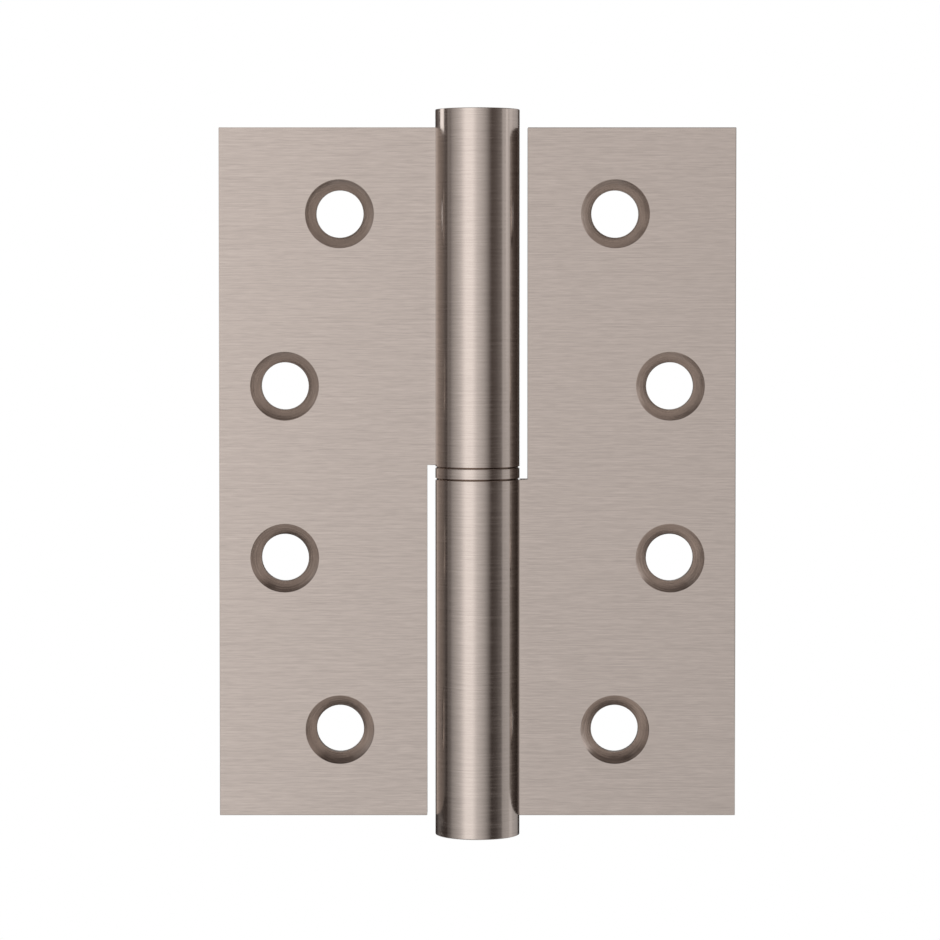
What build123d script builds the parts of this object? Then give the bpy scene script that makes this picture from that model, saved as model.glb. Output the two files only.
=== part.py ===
from build123d import *
from math import acos, asin, degrees, radians, tan
import os

# Lift-off door hinge with rolled knuckles, lying open flat. Millimetres.
# The barrel's axis is Z, and the origin is on it at half height. The countersunk front faces look
# towards -Y. The door leaf lies on the -X side with the upper knuckle, the frame leaf on the +X side
# with the lower knuckle, which holds the pin.

# Leaves
leaf_height = 100.0
leaf_reach = 37.5          # from the barrel's axis to a leaf's outer edge
leaf_thickness = 3.0
leaf_setback = 1.2         # from the barrel's axis back to a leaf's front face, half the closed gap
swage_radius = 1.5         # inside radius of the bend where a leaf runs into its knuckle
notch_clearance = 1.2      # between a leaf's notched edge and the other leaf's knuckle

# Knuckles, rolled from the leaves round the pin
pin_diameter = 6.2
roll_gap = 0.1             # between the roll's free end and the leaf's front face
knuckle_proud = 0.2        # how far a knuckle's faced end stands past the leaf's cut
knuckle_chamfer = 0.15      # on a knuckle's faced end, along the barrel
knuckle_chamfer_depth = 0.25
bore_chamfer = 0.5

# Screw holes, two columns of two on each leaf
hole_diameter = 6.9
countersink_diameter = 10.0
countersink_angle = 90.0
near_column = 20.0         # from the barrel's axis to the top and bottom holes
near_pitch = 75.0
far_column = 28.0          # from the barrel's axis to the two middle holes
far_pitch = 25.0

# Washer between the knuckles
washer_thickness = 1.7
washer_chamfer = 0.15       # along the barrel
washer_chamfer_depth = 0.25

# Pin, pressed into the lower knuckle
pin_foot_gap = 3.0         # between the pin's foot and the lower tip's shank
pin_nose_gap = 5.0         # between the pin's nose and the upper tip's shank
pin_relief = 1.0           # the seat ends this far below the knuckle's end
pin_nose_length = 5.0
pin_nose_diameter = 4.0
pin_nose_fillet = 1.2
pin_foot_chamfer = 0.6
running_clearance = 0.05   # radial, round the pin's free length
press_interference = 0.01  # radial, on what is pressed into a knuckle

# Tips, pressed into the outer ends of the knuckles
tip_head_thickness = 2.5
tip_rim_fillet = 0.1
tip_shank_length = 6.0
tip_shank_chamfer = 0.6

# Worked out from the sizes above
bore_radius = pin_diameter / 2
barrel_radius = bore_radius + leaf_thickness
leaf_back = leaf_setback + leaf_thickness
notch_reach = barrel_radius + notch_clearance
knuckle_end = washer_thickness / 2
leaf_cut = knuckle_end + knuckle_proud
leaf_end = leaf_height / 2
shank_end = leaf_end - tip_shank_length
seat_radius = bore_radius + press_interference
running_radius = bore_radius - running_clearance
past_face = 1.0            # how far a cutting tool runs on past the metal


def turned(points):
    """A turned piece round Z, from its half section of (radius, height) points."""
    section = make_face(Plane.XZ * Polyline(*points, close=True))
    return revolve(section, Axis.Z)


def knuckle_section():
    """Section of a leaf, swaged back and rolled round the bore, seen along the barrel."""
    # The bend's centre lies off the leaf's back face, where both of its arcs run on smoothly
    # into the bore and into the outside of the barrel.
    bend_depth = leaf_back + swage_radius
    to_bend = barrel_radius + swage_radius
    bend_turn = degrees(acos(bend_depth / to_bend))
    bend_centre = Vector(0, to_bend).rotate(Axis.Z, bend_turn)
    front_bend = CenterArc(bend_centre, swage_radius + leaf_thickness, -90, bend_turn)
    back_bend = CenterArc(bend_centre, swage_radius, -90, bend_turn)

    # The roll runs round the back, the far side and the front, and stops short of the leaf.
    roll_start = 90 + bend_turn
    seam_depth = leaf_setback - roll_gap
    inner_end = -180 - degrees(asin(seam_depth / bore_radius))
    outer_end = -180 - degrees(asin(seam_depth / barrel_radius))
    inside = CenterArc((0, 0), bore_radius, roll_start, inner_end - roll_start)
    outside = CenterArc((0, 0), barrel_radius, roll_start, outer_end - roll_start)
    roll_face = Line(inside @ 1, outside @ 1)

    leaf = Polyline(
        front_bend @ 0,
        (-leaf_reach, leaf_setback),
        (-leaf_reach, leaf_back),
        back_bend @ 0,
    )
    return make_face([leaf, front_bend, inside, roll_face, outside, back_bend])


def knuckle_facing():
    """What is faced off the knuckle's inner end: the leaf's cut, the rim and the bore's mouth."""
    around = Rectangle(2 * leaf_reach, 2 * leaf_reach) - Circle(barrel_radius)
    cut_back = Pos(0, 0, knuckle_end) * extrude(around, knuckle_proud)
    rim = turned([
        (barrel_radius - 2 * knuckle_chamfer_depth, knuckle_end - knuckle_chamfer),
        (barrel_radius + knuckle_chamfer_depth, knuckle_end - knuckle_chamfer),
        (barrel_radius + knuckle_chamfer_depth, knuckle_end + knuckle_chamfer),
        (barrel_radius, knuckle_end + knuckle_chamfer),
    ])
    mouth = turned([
        (0, knuckle_end - bore_chamfer),
        (bore_radius + 2 * bore_chamfer, knuckle_end - bore_chamfer),
        (bore_radius, knuckle_end + bore_chamfer),
        (0, knuckle_end + bore_chamfer),
    ])
    return [cut_back, rim, mouth]


def screw_cutters():
    """A drill with its countersink, one for each screw hole of a leaf."""
    hole_radius = hole_diameter / 2
    sink_radius = countersink_diameter / 2
    slope = tan(radians(countersink_angle / 2))
    cutter = turned([
        (0, past_face),
        (sink_radius + past_face * slope, past_face),
        (hole_radius, (hole_radius - sink_radius) / slope),
        (hole_radius, -leaf_thickness - past_face),
        (0, -leaf_thickness - past_face),
    ])
    front = Plane(origin=(0, leaf_setback, 0), x_dir=(1, 0, 0), z_dir=(0, -1, 0))
    near_pair = GridLocations(0, near_pitch, 1, 2)
    far_pair = GridLocations(0, far_pitch, 1, 2)
    places = [Pos(-near_column, 0, 0) * spot for spot in near_pair]
    places += [Pos(-far_column, 0, 0) * spot for spot in far_pair]
    return [front * place * cutter for place in places]


def rolled_leaf():
    """A leaf with its knuckle in one piece, as the door leaf lies: knuckle up, plate to -X."""
    rolled = Pos(0, 0, knuckle_end) * extrude(knuckle_section(), leaf_end - knuckle_end, dir=(0, 0, 1))
    plate = Pos(-leaf_reach, leaf_setback, -leaf_end) * Box(
        leaf_reach - notch_reach,
        leaf_thickness,
        leaf_end + leaf_cut,
        align=Align.MIN,
    )
    return rolled - knuckle_facing() + plate - screw_cutters()


def hinge_pin():
    """The pin: a press seat below, a free length above it and a tapered, rounded nose."""
    foot = -shank_end + pin_foot_gap
    seat_top = -knuckle_end - pin_relief
    top = shank_end - pin_nose_gap
    nose_radius = pin_nose_diameter / 2
    body = turned([
        (0, foot),
        (seat_radius - pin_foot_chamfer, foot),
        (seat_radius, foot + pin_foot_chamfer),
        (seat_radius, seat_top),
        (running_radius, seat_top),
        (running_radius, top - pin_nose_length),
        (nose_radius, top),
        (0, top),
    ])
    rims = body.edges().filter_by(GeomType.CIRCLE).group_by(Axis.Z)
    return fillet(rims[-1] + rims[-2], pin_nose_fillet)


def thrust_washer():
    """The flat washer that carries the door, with its outer rims broken."""
    washer_radius = barrel_radius
    return turned([
        (bore_radius, -knuckle_end),
        (washer_radius - washer_chamfer_depth, -knuckle_end),
        (washer_radius, -knuckle_end + washer_chamfer),
        (washer_radius, knuckle_end - washer_chamfer),
        (washer_radius - washer_chamfer_depth, knuckle_end),
        (bore_radius, knuckle_end),
    ])


def tip():
    """The upper tip: a flat head as wide as the barrel, on a shank pressed into the bore."""
    head_top = leaf_end + tip_head_thickness
    piece = turned([
        (0, head_top),
        (barrel_radius, head_top),
        (barrel_radius, leaf_end),
        (seat_radius, leaf_end),
        (seat_radius, shank_end + tip_shank_chamfer),
        (seat_radius - tip_shank_chamfer, shank_end),
        (0, shank_end),
    ])
    head_rim = piece.edges().filter_by(GeomType.CIRCLE).group_by(Axis.Z)[-1]
    return fillet(head_rim, tip_rim_fillet)


def upside_down(piece):
    """The same piece turned over end for end, its front face still to the front."""
    return piece.rotate(Axis.Y, 180)


def hinge_pieces():
    """Every piece of the hinge by name, where it lies in the open hinge."""
    return {
        "door_leaf": rolled_leaf(),
        "frame_leaf": upside_down(rolled_leaf()),
        "hinge_pin": hinge_pin(),
        "thrust_washer": thrust_washer(),
        "upper_tip": tip(),
        "lower_tip": upside_down(tip()),
    }


os.makedirs("parts", exist_ok=True)
for name, piece in hinge_pieces().items():
    export_step(piece, f"parts/{name}.step")
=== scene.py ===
import bmesh
import bpy
from math import hypot, radians
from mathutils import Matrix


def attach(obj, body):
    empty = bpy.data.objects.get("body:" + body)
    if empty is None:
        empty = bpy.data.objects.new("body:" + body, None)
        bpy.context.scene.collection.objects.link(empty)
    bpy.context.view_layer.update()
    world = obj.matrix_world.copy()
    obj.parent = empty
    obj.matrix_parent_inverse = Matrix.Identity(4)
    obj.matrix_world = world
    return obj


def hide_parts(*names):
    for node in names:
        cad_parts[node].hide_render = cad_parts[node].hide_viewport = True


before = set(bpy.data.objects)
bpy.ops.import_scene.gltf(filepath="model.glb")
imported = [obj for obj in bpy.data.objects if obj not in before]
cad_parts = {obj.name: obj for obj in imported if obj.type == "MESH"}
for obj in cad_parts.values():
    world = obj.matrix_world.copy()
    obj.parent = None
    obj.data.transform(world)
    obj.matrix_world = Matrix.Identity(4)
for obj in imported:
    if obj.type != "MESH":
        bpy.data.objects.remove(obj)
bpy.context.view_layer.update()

# A lift-off door hinge in satin nickel, lying open flat. Sizes are in metres, in the hinge's own
# frame: Z runs up the barrel, and the countersunk front faces look towards -Y.

# Camera, square to the hinge and above its middle, tilted down a little so that the frame needs
# less shift
sensor_width = 36.0             # millimetres, as the lens is
image_side = 940
focal_pixels = 3454.8
lens_row = 401.7                # the row of the frame straight ahead of the lens
camera_place = (-0.00108, -0.5, 0.02513)
camera_tilt = 1.7               # degrees
camera_sight = (0.01, 20.0)     # the nearest and the farthest that it sees

# Soft panels of the studio, in degrees as the hinge sees them: the azimuth of the middle, with 0 towards
# the camera and 90 towards +X, half the width, the softness of the sides, the lowest and the highest
# elevation, the softness above and below, and last the strength
panel_settings = ("Centre", "Half Width", "Edge", "Low", "High", "Fade", "Strength")
studio_panels = (
    (-23, 43, 36, -28, 40, 20, 0.83),           # the key light, its soft sides and its brighter middle
    (-74, 10, 20, -28, 25, 15, 0.14),
    (20, 13, 18, -28, 25, 15, 0.09),
    (-23.3, 16.5, 15, -28, 25, 15, 0.585),
    (-86.5, 4, 2, 4, 25, 20, 0.2),              # the left wall, with a bright strip on it
    (-114, 8.8, 4, -3, 25, 3, 1.6),
    (-106, 13, 14, -4, 25, 7, 0.05),
    (-131, 12, 16, -28, 25, 15, 0.14),
    (60, 14, 24, -6, 25, 15, 0.08),             # the right wall, in steps
    (109, 38, 5, -28, 25, 15, 0.31),
    (84, 13, 5, 3, 25, 8, 0.09),
    (122, 25, 5, -28, 25, 15, 0.12),
    (100, 34, 24, -28, 25, 15, 0.2),
    (89.5, 6.5, 3, -28, 25, 15, 0.08),
    (88, 2.5, 2, 3, 25, 5, 0.42),
    (104, 7, 6, -28, 25, 15, 0.18),
    (180, 70, 60, 24, 74, 12, 0.5),             # high behind, for the faces that look up
)
white_panel = (180, 8, 2, -28, 60, 10, 1.0)     # the white background, as the metal mirrors it

# The studio is darker below: between two elevations, in degrees, its light falls to a share of it
panel_horizon = (-10.0, -1.0)
panels_below = 0.972
room_horizon = (-9.0, 1.0)
room_below = 0.5
room_colour = (0.110, 0.089, 0.081)             # between the panels

# Floor
floor_height = -0.3
floor_radius = 1.0
floor_corners = 96
floor_colour = (0.5, 0.5, 0.5, 1.0)
floor_roughness = 0.9
floor_fade = (0.6, 0.97)        # between these distances from its middle it runs out into the white
floor_white = 0.83              # the glow that makes it white to the camera
pool_reach = (0.08, 0.35)       # between these distances in front and behind, what the metal mirrors
pool_light = 0.6                # of it grows to this glow
white = (1.0, 1.0, 1.0, 1.0)

# Strokes of the grain, to the metre: two ways along it, then across it
long_strokes = (70.0, 70.0, 8200.0)
short_strokes = (480.0, 480.0, 6700.0)
stroke_heights = (0.7, 1.3)     # of both kinds added up, from the smoothest to the roughest
stroke_depth = 0.00002
ring_pace = 0.73                # how closely rings follow each other on an end, against 1 along the barrel

# Metals
nickel_colour = (0.50, 0.437, 0.398)
steel_colour = (0.62, 0.61, 0.59)
grazing_tint = (0.8, 0.8, 0.8, 1.0)
plate_shade = 0.953             # how much darker the flat plates come out than the turned barrel
plate_edge = (0.0061, 0.0073)   # between these distances from the axis one finish runs over into the other
# The cut faces come out darker: partly the duller sheared metal, partly painted shade on the notch walls
# and in the screw bores
cut_dulling_and_painted_shade = 0.75
torn_and_painted_bore_shade = 0.65               # the back of a blanked edge is torn rather than cut, and darker still; the same darkening on the walls of the screw bores, which lie this deep, is painted shade
torn_and_bore_depths = (0.0020, 0.0024)

# Leaves, as the CAD has them
barrel_side = 0.0062            # the plates lie outside this distance from the axis
notch_side = 0.0075             # and the long sides of their notches inside this one
bore_side = 0.005               # the bore's wall lies inside this radius
screw_columns = ((0.020, 0.0375), (0.028, 0.0125))
countersink_radius = 0.00505    # everything round a screw hole's axis, with its rim

# Dressing of the leaves, with turns in degrees
same_point = 0.000002           # corners that lie nearer are one
flat_turn = 0.5                 # faces that turn less are one face
outer_turn = 40                 # an edge that turns more is an outer corner
crease_turn = 28                # an edge that turns more isn't shaded smooth
broken_edge = 0.00008           # the soft break that tumbling leaves on a blanked edge
brushed_slot, sunk_slot, cut_slot, turned_slot = range(4)

# What a face of a leaf is, by how much of its direction lies along an axis
flat_on = 0.9999                # flat, and square to the axis
plate_front = 0.99              # the plate's own front or back, round a screw hole
steep = 0.5                     # less along Y is a wall
end_of_barrel = 0.3             # more along Z is the knuckle's end with its chamfers


def new_node(tree, kind, **settings):
    """A node of a node tree, with its settings."""
    node = tree.nodes.new(kind)
    for name, value in settings.items():
        setattr(node, name, value)
    return node


def feed(tree, socket, value):
    """Gives an input socket a plain value or the output of another node."""
    if isinstance(value, bpy.types.NodeSocket):
        tree.links.new(value, socket)
    else:
        socket.default_value = value


def calculate(tree, operation, *values, clamp=False):
    """A Math node's output."""
    node = new_node(tree, "ShaderNodeMath", operation=operation, use_clamp=clamp)
    for socket, value in zip(node.inputs, values):
        feed(tree, socket, value)
    return node.outputs[0]


def ramp(tree, value, start, end, low=0.0, high=1.0):
    """A value that goes from low at start to high at end, and stays there."""
    node = new_node(tree, "ShaderNodeMapRange")
    for name, given in zip(("Value", "From Min", "From Max", "To Min", "To Max"),
                           (value, start, end, low, high)):
        feed(tree, node.inputs[name], given)
    return node.outputs["Result"]


def new_group(name, inputs, outputs):
    """An empty shader node group with sockets of the given kinds, and its two end nodes."""
    group = bpy.data.node_groups.new(name, "ShaderNodeTree")
    for socket, kind in inputs:
        group.interface.new_socket(socket, in_out="INPUT", socket_type=kind)
    for socket, kind in outputs:
        group.interface.new_socket(socket, in_out="OUTPUT", socket_type=kind)
    return group, new_node(group, "NodeGroupInput"), new_node(group, "NodeGroupOutput")


def place_group(tree, group, **values):
    """A group placed in a tree with its own values."""
    node = new_node(tree, "ShaderNodeGroup", node_tree=group)
    for name, value in values.items():
        feed(tree, node.inputs[name], value)
    return node


def ray_kinds(tree):
    """Whether a ray comes from the camera, and whether it was mirrored or went through glass."""
    path = new_node(tree, "ShaderNodeLightPath").outputs
    mirrored = calculate(tree, "ADD", path["Is Glossy Ray"], path["Is Transmission Ray"], clamp=True)
    return path["Is Camera Ray"], mirrored


def soft_panel_group():
    """A soft light panel of the studio, by the direction in which it is seen, in degrees."""
    inputs = [(name, "NodeSocketFloat") for name in ("Azimuth", "Elevation", *panel_settings)]
    group, given, out = new_group("soft_panel", inputs, [("Light", "NodeSocketFloat")])
    get = given.outputs
    turn = calculate(group, "SUBTRACT", get["Azimuth"], get["Centre"])
    aside = calculate(group, "ABSOLUTE", calculate(group, "WRAP", turn, 180.0, -180.0))
    half_edge = calculate(group, "MULTIPLY", get["Edge"], 0.5)
    outer = calculate(group, "ADD", get["Half Width"], half_edge)
    inner = calculate(group, "SUBTRACT", get["Half Width"], half_edge)
    below = calculate(group, "SUBTRACT", get["Low"], get["Fade"])
    above = calculate(group, "ADD", get["High"], get["Fade"])
    light = calculate(group, "MULTIPLY", get["Strength"], ramp(group, aside, outer, inner))
    light = calculate(group, "MULTIPLY", light, ramp(group, get["Elevation"], below, get["Low"]))
    light = calculate(group, "MULTIPLY", light, ramp(group, get["Elevation"], above, get["High"]))
    feed(group, out.inputs["Light"], light)
    return group


def sight_angles(tree):
    """Azimuth round the hinge, 0 towards the camera and 90 towards +X, and elevation, in degrees."""
    direction = new_node(tree, "ShaderNodeTexCoord").outputs["Generated"]
    parts = new_node(tree, "ShaderNodeSeparateXYZ")
    feed(tree, parts.inputs[0], direction)
    towards = calculate(tree, "MULTIPLY", parts.outputs["Y"], -1.0)
    azimuth = calculate(tree, "ARCTAN2", parts.outputs["X"], towards)
    elevation = calculate(tree, "ARCSINE", parts.outputs["Z"])
    return calculate(tree, "DEGREES", azimuth), calculate(tree, "DEGREES", elevation)


def studio():
    """Soft panels in a dim room: a key light on the left, walls to the sides, white behind."""
    world = bpy.data.worlds.new("studio")
    world.use_nodes = True
    bpy.context.scene.world = world
    tree = world.node_tree
    tree.nodes.clear()
    azimuth, elevation = sight_angles(tree)
    panel = soft_panel_group()

    def lit(light, settings):
        """Adds one panel to the light."""
        values = dict(zip(panel_settings, settings))
        node = place_group(tree, panel, Azimuth=azimuth, Elevation=elevation, **values)
        return calculate(tree, "ADD", light, node.outputs["Light"])

    light = 0.0
    for settings in studio_panels:
        light = lit(light, settings)
    light = calculate(tree, "MULTIPLY", light, ramp(tree, elevation, *panel_horizon, panels_below, 1.0))
    behind = lit(0.0, white_panel)

    room = new_node(tree, "ShaderNodeVectorMath", operation="SCALE")
    feed(tree, room.inputs[0], room_colour)
    feed(tree, room.inputs["Scale"], ramp(tree, elevation, *room_horizon, room_below, 1.0))
    colour = new_node(tree, "ShaderNodeVectorMath", operation="ADD")
    feed(tree, colour.inputs[0], room.outputs[0])
    feed(tree, colour.inputs[1], light)

    to_camera, mirrored = ray_kinds(tree)
    shows_white = calculate(tree, "MAXIMUM", to_camera, calculate(tree, "MULTIPLY", mirrored, behind))
    lamps = new_node(tree, "ShaderNodeBackground")
    feed(tree, lamps.inputs["Color"], colour.outputs[0])
    backdrop = new_node(tree, "ShaderNodeBackground")
    feed(tree, backdrop.inputs["Color"], white)
    mix = new_node(tree, "ShaderNodeMixShader")
    feed(tree, mix.inputs[0], shows_white)
    feed(tree, mix.inputs[1], lamps.outputs[0])
    feed(tree, mix.inputs[2], backdrop.outputs[0])
    feed(tree, new_node(tree, "ShaderNodeOutputWorld").inputs["Surface"], mix.outputs[0])


def new_material(name):
    """A material: its tree, its shader, and the place on the piece as one vector and as three values."""
    material = bpy.data.materials.new(name)
    material.use_nodes = True
    tree = material.node_tree
    where = new_node(tree, "ShaderNodeTexCoord").outputs["Object"]
    place = new_node(tree, "ShaderNodeSeparateXYZ")
    feed(tree, place.inputs[0], where)
    return material, tree, tree.nodes["Principled BSDF"], where, place.outputs


def floor():
    """A round pale floor below the hinge, white to the camera apart from the shadow on it.

    The metal mirrors it dark right below the hinge, and bright in front of it and behind.
    """
    bpy.ops.mesh.primitive_circle_add(vertices=floor_corners, radius=floor_radius, fill_type="NGON",
                                      location=(0, 0, floor_height))
    disc = bpy.context.object
    disc.name = "floor"
    material, tree, shader, where, place = new_material("floor")
    feed(tree, shader.inputs["Base Color"], floor_colour)
    feed(tree, shader.inputs["Roughness"], floor_roughness)
    away = new_node(tree, "ShaderNodeVectorMath", operation="LENGTH")
    feed(tree, away.inputs[0], where)
    pool = ramp(tree, calculate(tree, "ABSOLUTE", place["Y"]), *pool_reach, 0.0, pool_light)
    to_camera, mirrored = ray_kinds(tree)
    glow = calculate(tree, "ADD", calculate(tree, "MULTIPLY", to_camera, floor_white),
                     calculate(tree, "MULTIPLY", mirrored, pool))
    feed(tree, shader.inputs["Emission Color"], white)
    feed(tree, shader.inputs["Emission Strength"], glow)
    feed(tree, shader.inputs["Alpha"], ramp(tree, away.outputs["Value"], *floor_fade, 1.0, 0.0))
    disc.data.materials.append(material)


def camera():
    """The photograph's camera, with the frame shifted down to the hinge."""
    data = bpy.data.cameras.new("camera")
    data.sensor_width = sensor_width
    data.lens = sensor_width * focal_pixels / image_side
    data.shift_y = (lens_row - image_side / 2) / image_side
    data.clip_start, data.clip_end = camera_sight
    item = bpy.data.objects.new("camera", data)
    bpy.context.scene.collection.objects.link(item)
    item.location = camera_place
    item.rotation_euler = (radians(90 - camera_tilt), 0, 0)
    bpy.context.scene.camera = item


def grain_group():
    """Fine strokes, long ones and short ones: slow along the grain in X and Y, fast across it in Z."""
    inputs = [("Vector", "NodeSocketVector"), ("Contrast", "NodeSocketFloat")]
    outputs = [("Tone", "NodeSocketFloat"), ("Height", "NodeSocketFloat")]
    group, given, out = new_group("grain", inputs, outputs)
    strokes = []
    for stretch in (long_strokes, short_strokes):
        scaled = new_node(group, "ShaderNodeVectorMath", operation="MULTIPLY")
        feed(group, scaled.inputs[0], given.outputs["Vector"])
        feed(group, scaled.inputs[1], stretch)
        noise = new_node(group, "ShaderNodeTexNoise")
        feed(group, noise.inputs["Vector"], scaled.outputs[0])
        feed(group, noise.inputs["Scale"], 1.0)
        feed(group, noise.inputs["Detail"], 1.0)
        feed(group, noise.inputs["Roughness"], 0.5)
        strokes.append(noise.outputs["Fac"])
    both = calculate(group, "ADD", *strokes)
    centred = calculate(group, "SUBTRACT", both, 1.0)
    tone = calculate(group, "MULTIPLY", centred, given.outputs["Contrast"])
    feed(group, out.inputs["Tone"], calculate(group, "ADD", tone, 1.0))
    feed(group, out.inputs["Height"], both)
    return group


def new_metal(name):
    """A fully metallic material: its tree, its shader, and the place on the piece."""
    material, tree, shader, _, place = new_material(name)
    feed(tree, shader.inputs["Metallic"], 1.0)
    feed(tree, shader.inputs["Specular Tint"], grazing_tint)
    return material, tree, shader, place


def grained(tree, shader, grain, across, contrast, colour, shade, roughness, spread, bump):
    """Gives a metal its strokes: in the colour, in the roughness and as a fine bump."""
    vector = new_node(tree, "ShaderNodeCombineXYZ")
    for socket, value in zip(vector.inputs, across):
        feed(tree, socket, value)
    strokes = place_group(tree, grain, Vector=vector.outputs[0], Contrast=contrast)
    tinted = new_node(tree, "ShaderNodeVectorMath", operation="SCALE")
    feed(tree, tinted.inputs[0], colour)
    feed(tree, tinted.inputs["Scale"], calculate(tree, "MULTIPLY", shade, strokes.outputs["Tone"]))
    feed(tree, shader.inputs["Base Color"], tinted.outputs[0])
    smoothest = calculate(tree, "SUBTRACT", roughness, spread)
    roughest = calculate(tree, "ADD", roughness, spread)
    feed(tree, shader.inputs["Roughness"],
         ramp(tree, strokes.outputs["Height"], *stroke_heights, smoothest, roughest))
    relief = new_node(tree, "ShaderNodeBump")
    feed(tree, relief.inputs["Strength"], bump)
    feed(tree, relief.inputs["Distance"], stroke_depth)
    feed(tree, relief.inputs["Height"], strokes.outputs["Height"])
    feed(tree, shader.inputs["Normal"], relief.outputs[0])


def round_the_barrel(tree, place):
    """A distance that grows both along the barrel and away from its axis, for turned faces."""
    squares = [calculate(tree, "POWER", place[axis], 2.0) for axis in "XY"]
    out = calculate(tree, "SQRT", calculate(tree, "ADD", *squares))
    return calculate(tree, "ADD", place["Z"], calculate(tree, "MULTIPLY", out, ring_pace))


def satin_nickel(grain):
    """Brushed nickel plate: the grain runs across the leaves and round the barrel."""
    material, tree, shader, place = new_metal("satin_nickel")
    aside = calculate(tree, "ABSOLUTE", place["X"])
    shade = ramp(tree, aside, *plate_edge, 1.0, plate_shade)
    contrast = ramp(tree, aside, *plate_edge, 0.22, 0.27)
    spread = ramp(tree, aside, *plate_edge, 0.07, 0.03)
    grained(tree, shader, grain, (place["X"], place["Y"], place["Z"]), contrast=contrast,
            colour=nickel_colour, shade=shade, roughness=0.14, spread=spread, bump=0.07)
    return material


def turned_nickel(grain):
    """The same plate over turned faces: rings round the barrel and on its ends."""
    material, tree, shader, place = new_metal("turned_nickel")
    rings = round_the_barrel(tree, place)
    grained(tree, shader, grain, (place["X"], place["Y"], rings), contrast=0.22,
            colour=nickel_colour, shade=1.0, roughness=0.14, spread=0.07, bump=0.07)
    return material


def countersunk_nickel(grain):
    """The same plate over the countersinks and screw holes, with the rings that the cutter leaves."""
    material, tree, shader, place = new_metal("countersunk_nickel")
    grained(tree, shader, grain, (place["X"], place["Z"], place["Y"]), contrast=0.55,
            colour=nickel_colour, shade=0.975, roughness=0.19, spread=0.03, bump=0.3)
    return material


def cut_nickel(grain):
    """The plate over the blanked edges, the notch walls and the screw bores: duller, with the strokes of
    the shear across the thickness, and darker, partly as painted shade.
    """
    material, tree, shader, place = new_metal("cut_nickel")
    along = calculate(tree, "ADD", place["X"], place["Z"])
    # Partly painted shade: deep in, this darkens the walls of the screw bores; on the outer edges it is
    # the torn metal
    torn_and_bore_shade = ramp(tree, place["Y"], *torn_and_bore_depths, 1.0, torn_and_painted_bore_shade)
    # Partly painted shade: this darkens the notch walls and the screw bores as well as the duller sheared
    # edges
    shade = calculate(tree, "MULTIPLY", torn_and_bore_shade, cut_dulling_and_painted_shade)
    grained(tree, shader, grain, (place["Y"], 0.0, along), contrast=0.5,
            colour=nickel_colour, shade=shade, roughness=0.55, spread=0.08, bump=0.4)
    return material


def ground_steel(grain):
    """The pin's bright steel, with the fine rings of the grinding."""
    material, tree, shader, place = new_metal("ground_steel")
    rings = round_the_barrel(tree, place)
    grained(tree, shader, grain, (place["X"], place["Y"], rings), contrast=0.25,
            colour=steel_colour, shade=1.0, roughness=0.2, spread=0.04, bump=0.1)
    return material


def at_screw_hole(point):
    """Whether a point lies in one of a leaf's screw holes or on its rim."""
    return any(hypot(abs(point.x) - across, abs(point.z) - up) < countersink_radius
               for across, up in screw_columns)


def break_edges(mesh):
    """Takes the sharpness off a plate's edges, but not in its screw holes or along its notch."""
    edges = []
    for edge in mesh.edges:
        start, end = (corner.co for corner in edge.verts)
        middle = (start + end) / 2
        outer = edge.calc_face_angle_signed() > radians(outer_turn)
        along_barrel = abs(start.z - end.z) > abs(start.x - end.x)
        beside_barrel = along_barrel and abs(middle.x) < notch_side
        if outer and abs(middle.x) > barrel_side and not beside_barrel and not at_screw_hole(middle):
            edges.append(edge)
    bmesh.ops.bevel(mesh, geom=edges, offset=broken_edge, offset_type="OFFSET", segments=2, profile=0.5,
                    affect="EDGES", material=-1, clamp_overlap=True)


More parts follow.
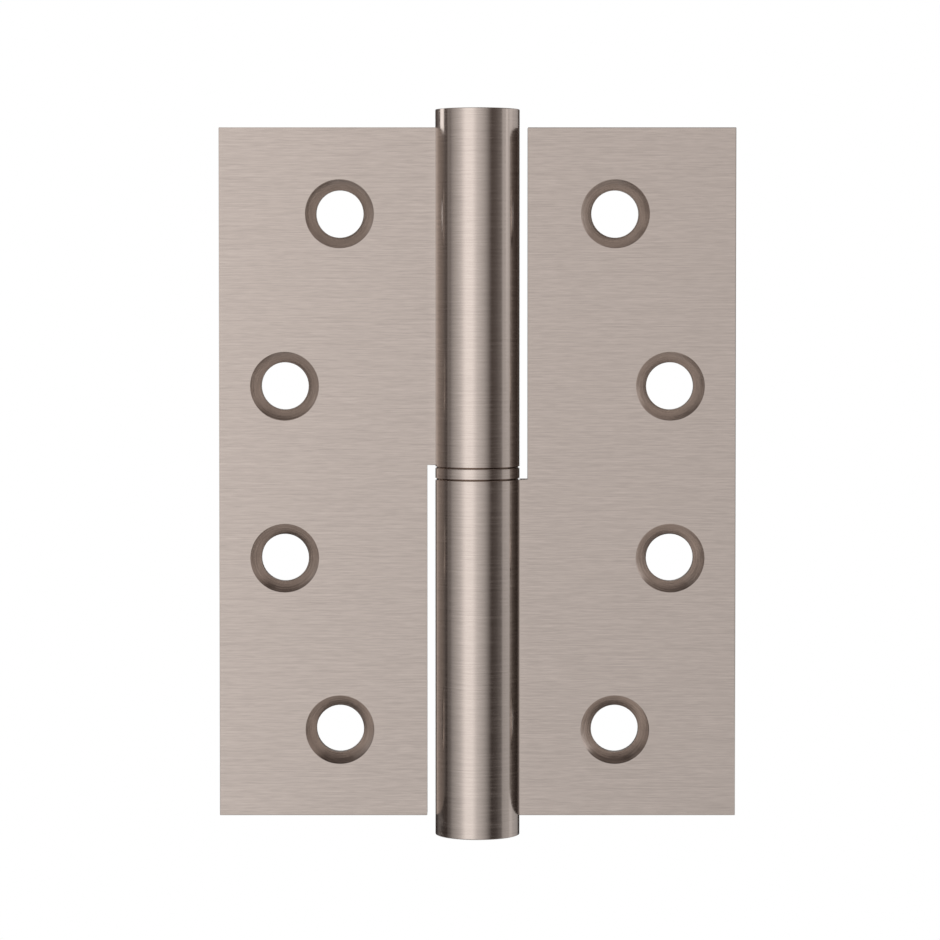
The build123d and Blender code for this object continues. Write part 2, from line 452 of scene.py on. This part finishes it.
def finish_face(face):
    """Sorts a leaf's face into brushed, countersunk, cut or turned, and shades it round or flat."""
    middle, facing = face.calc_center_median(), face.normal
    on_plate = abs(middle.x) > barrel_side
    in_bore = hypot(middle.x, middle.y) < bore_side
    round_hole = at_screw_hole(middle) and abs(facing.y) < plate_front
    if round_hole and abs(facing.y) > steep:
        face.material_index = sunk_slot
    elif on_plate and abs(facing.y) < steep:
        face.material_index = cut_slot
    elif not on_plate and (abs(facing.z) > end_of_barrel or in_bore):
        face.material_index = turned_slot
    else:
        face.material_index = brushed_slot
    across_plate = on_plate and max(abs(facing.x), abs(facing.y)) > flat_on
    face.smooth = round_hole or not (across_plate or abs(facing.z) > flat_on)


def dressed_leaf(node, body, finishes):
    """A leaf with its edges broken, in the finishes for its brushed, countersunk, cut and turned faces."""
    mesh = bmesh.new()
    mesh.from_mesh(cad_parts[node].data)
    bmesh.ops.remove_doubles(mesh, verts=mesh.verts, dist=same_point)
    bmesh.ops.dissolve_limit(mesh, angle_limit=radians(flat_turn), verts=mesh.verts, edges=mesh.edges)
    for side in (-barrel_side, barrel_side):
        bmesh.ops.bisect_plane(mesh, geom=mesh.verts[:] + mesh.edges[:] + mesh.faces[:],
                               dist=same_point, plane_co=(side, 0, 0), plane_no=(1, 0, 0))
    break_edges(mesh)
    mesh.normal_update()
    for face in mesh.faces:
        finish_face(face)
    for edge in mesh.edges:
        edge.smooth = edge.calc_face_angle() < radians(crease_turn)
    data = bpy.data.meshes.new(node + "_plate")
    mesh.to_mesh(data)
    mesh.free()
    if "custom_normal" in data.attributes:
        data.attributes.remove(data.attributes["custom_normal"])
    for finish in finishes:
        data.materials.append(finish)
    piece = bpy.data.objects.new(node + "_plate", data)
    bpy.context.scene.collection.objects.link(piece)
    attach(piece, body)
    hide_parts(node)


bpy.context.scene.view_settings.view_transform = "Standard"
studio()
floor()
camera()
grain = grain_group()
turned = turned_nickel(grain)
leaf_finishes = (satin_nickel(grain), countersunk_nickel(grain), cut_nickel(grain), turned)
small_pieces = {"hinge_pin": ground_steel(grain), "thrust_washer": turned, "upper_tip": turned,
                "lower_tip": turned}
for node, finish in small_pieces.items():
    for part_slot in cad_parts[node].material_slots:
        part_slot.material = finish
dressed_leaf("door_leaf", "door_side", leaf_finishes)
dressed_leaf("frame_leaf", "frame_side", leaf_finishes)
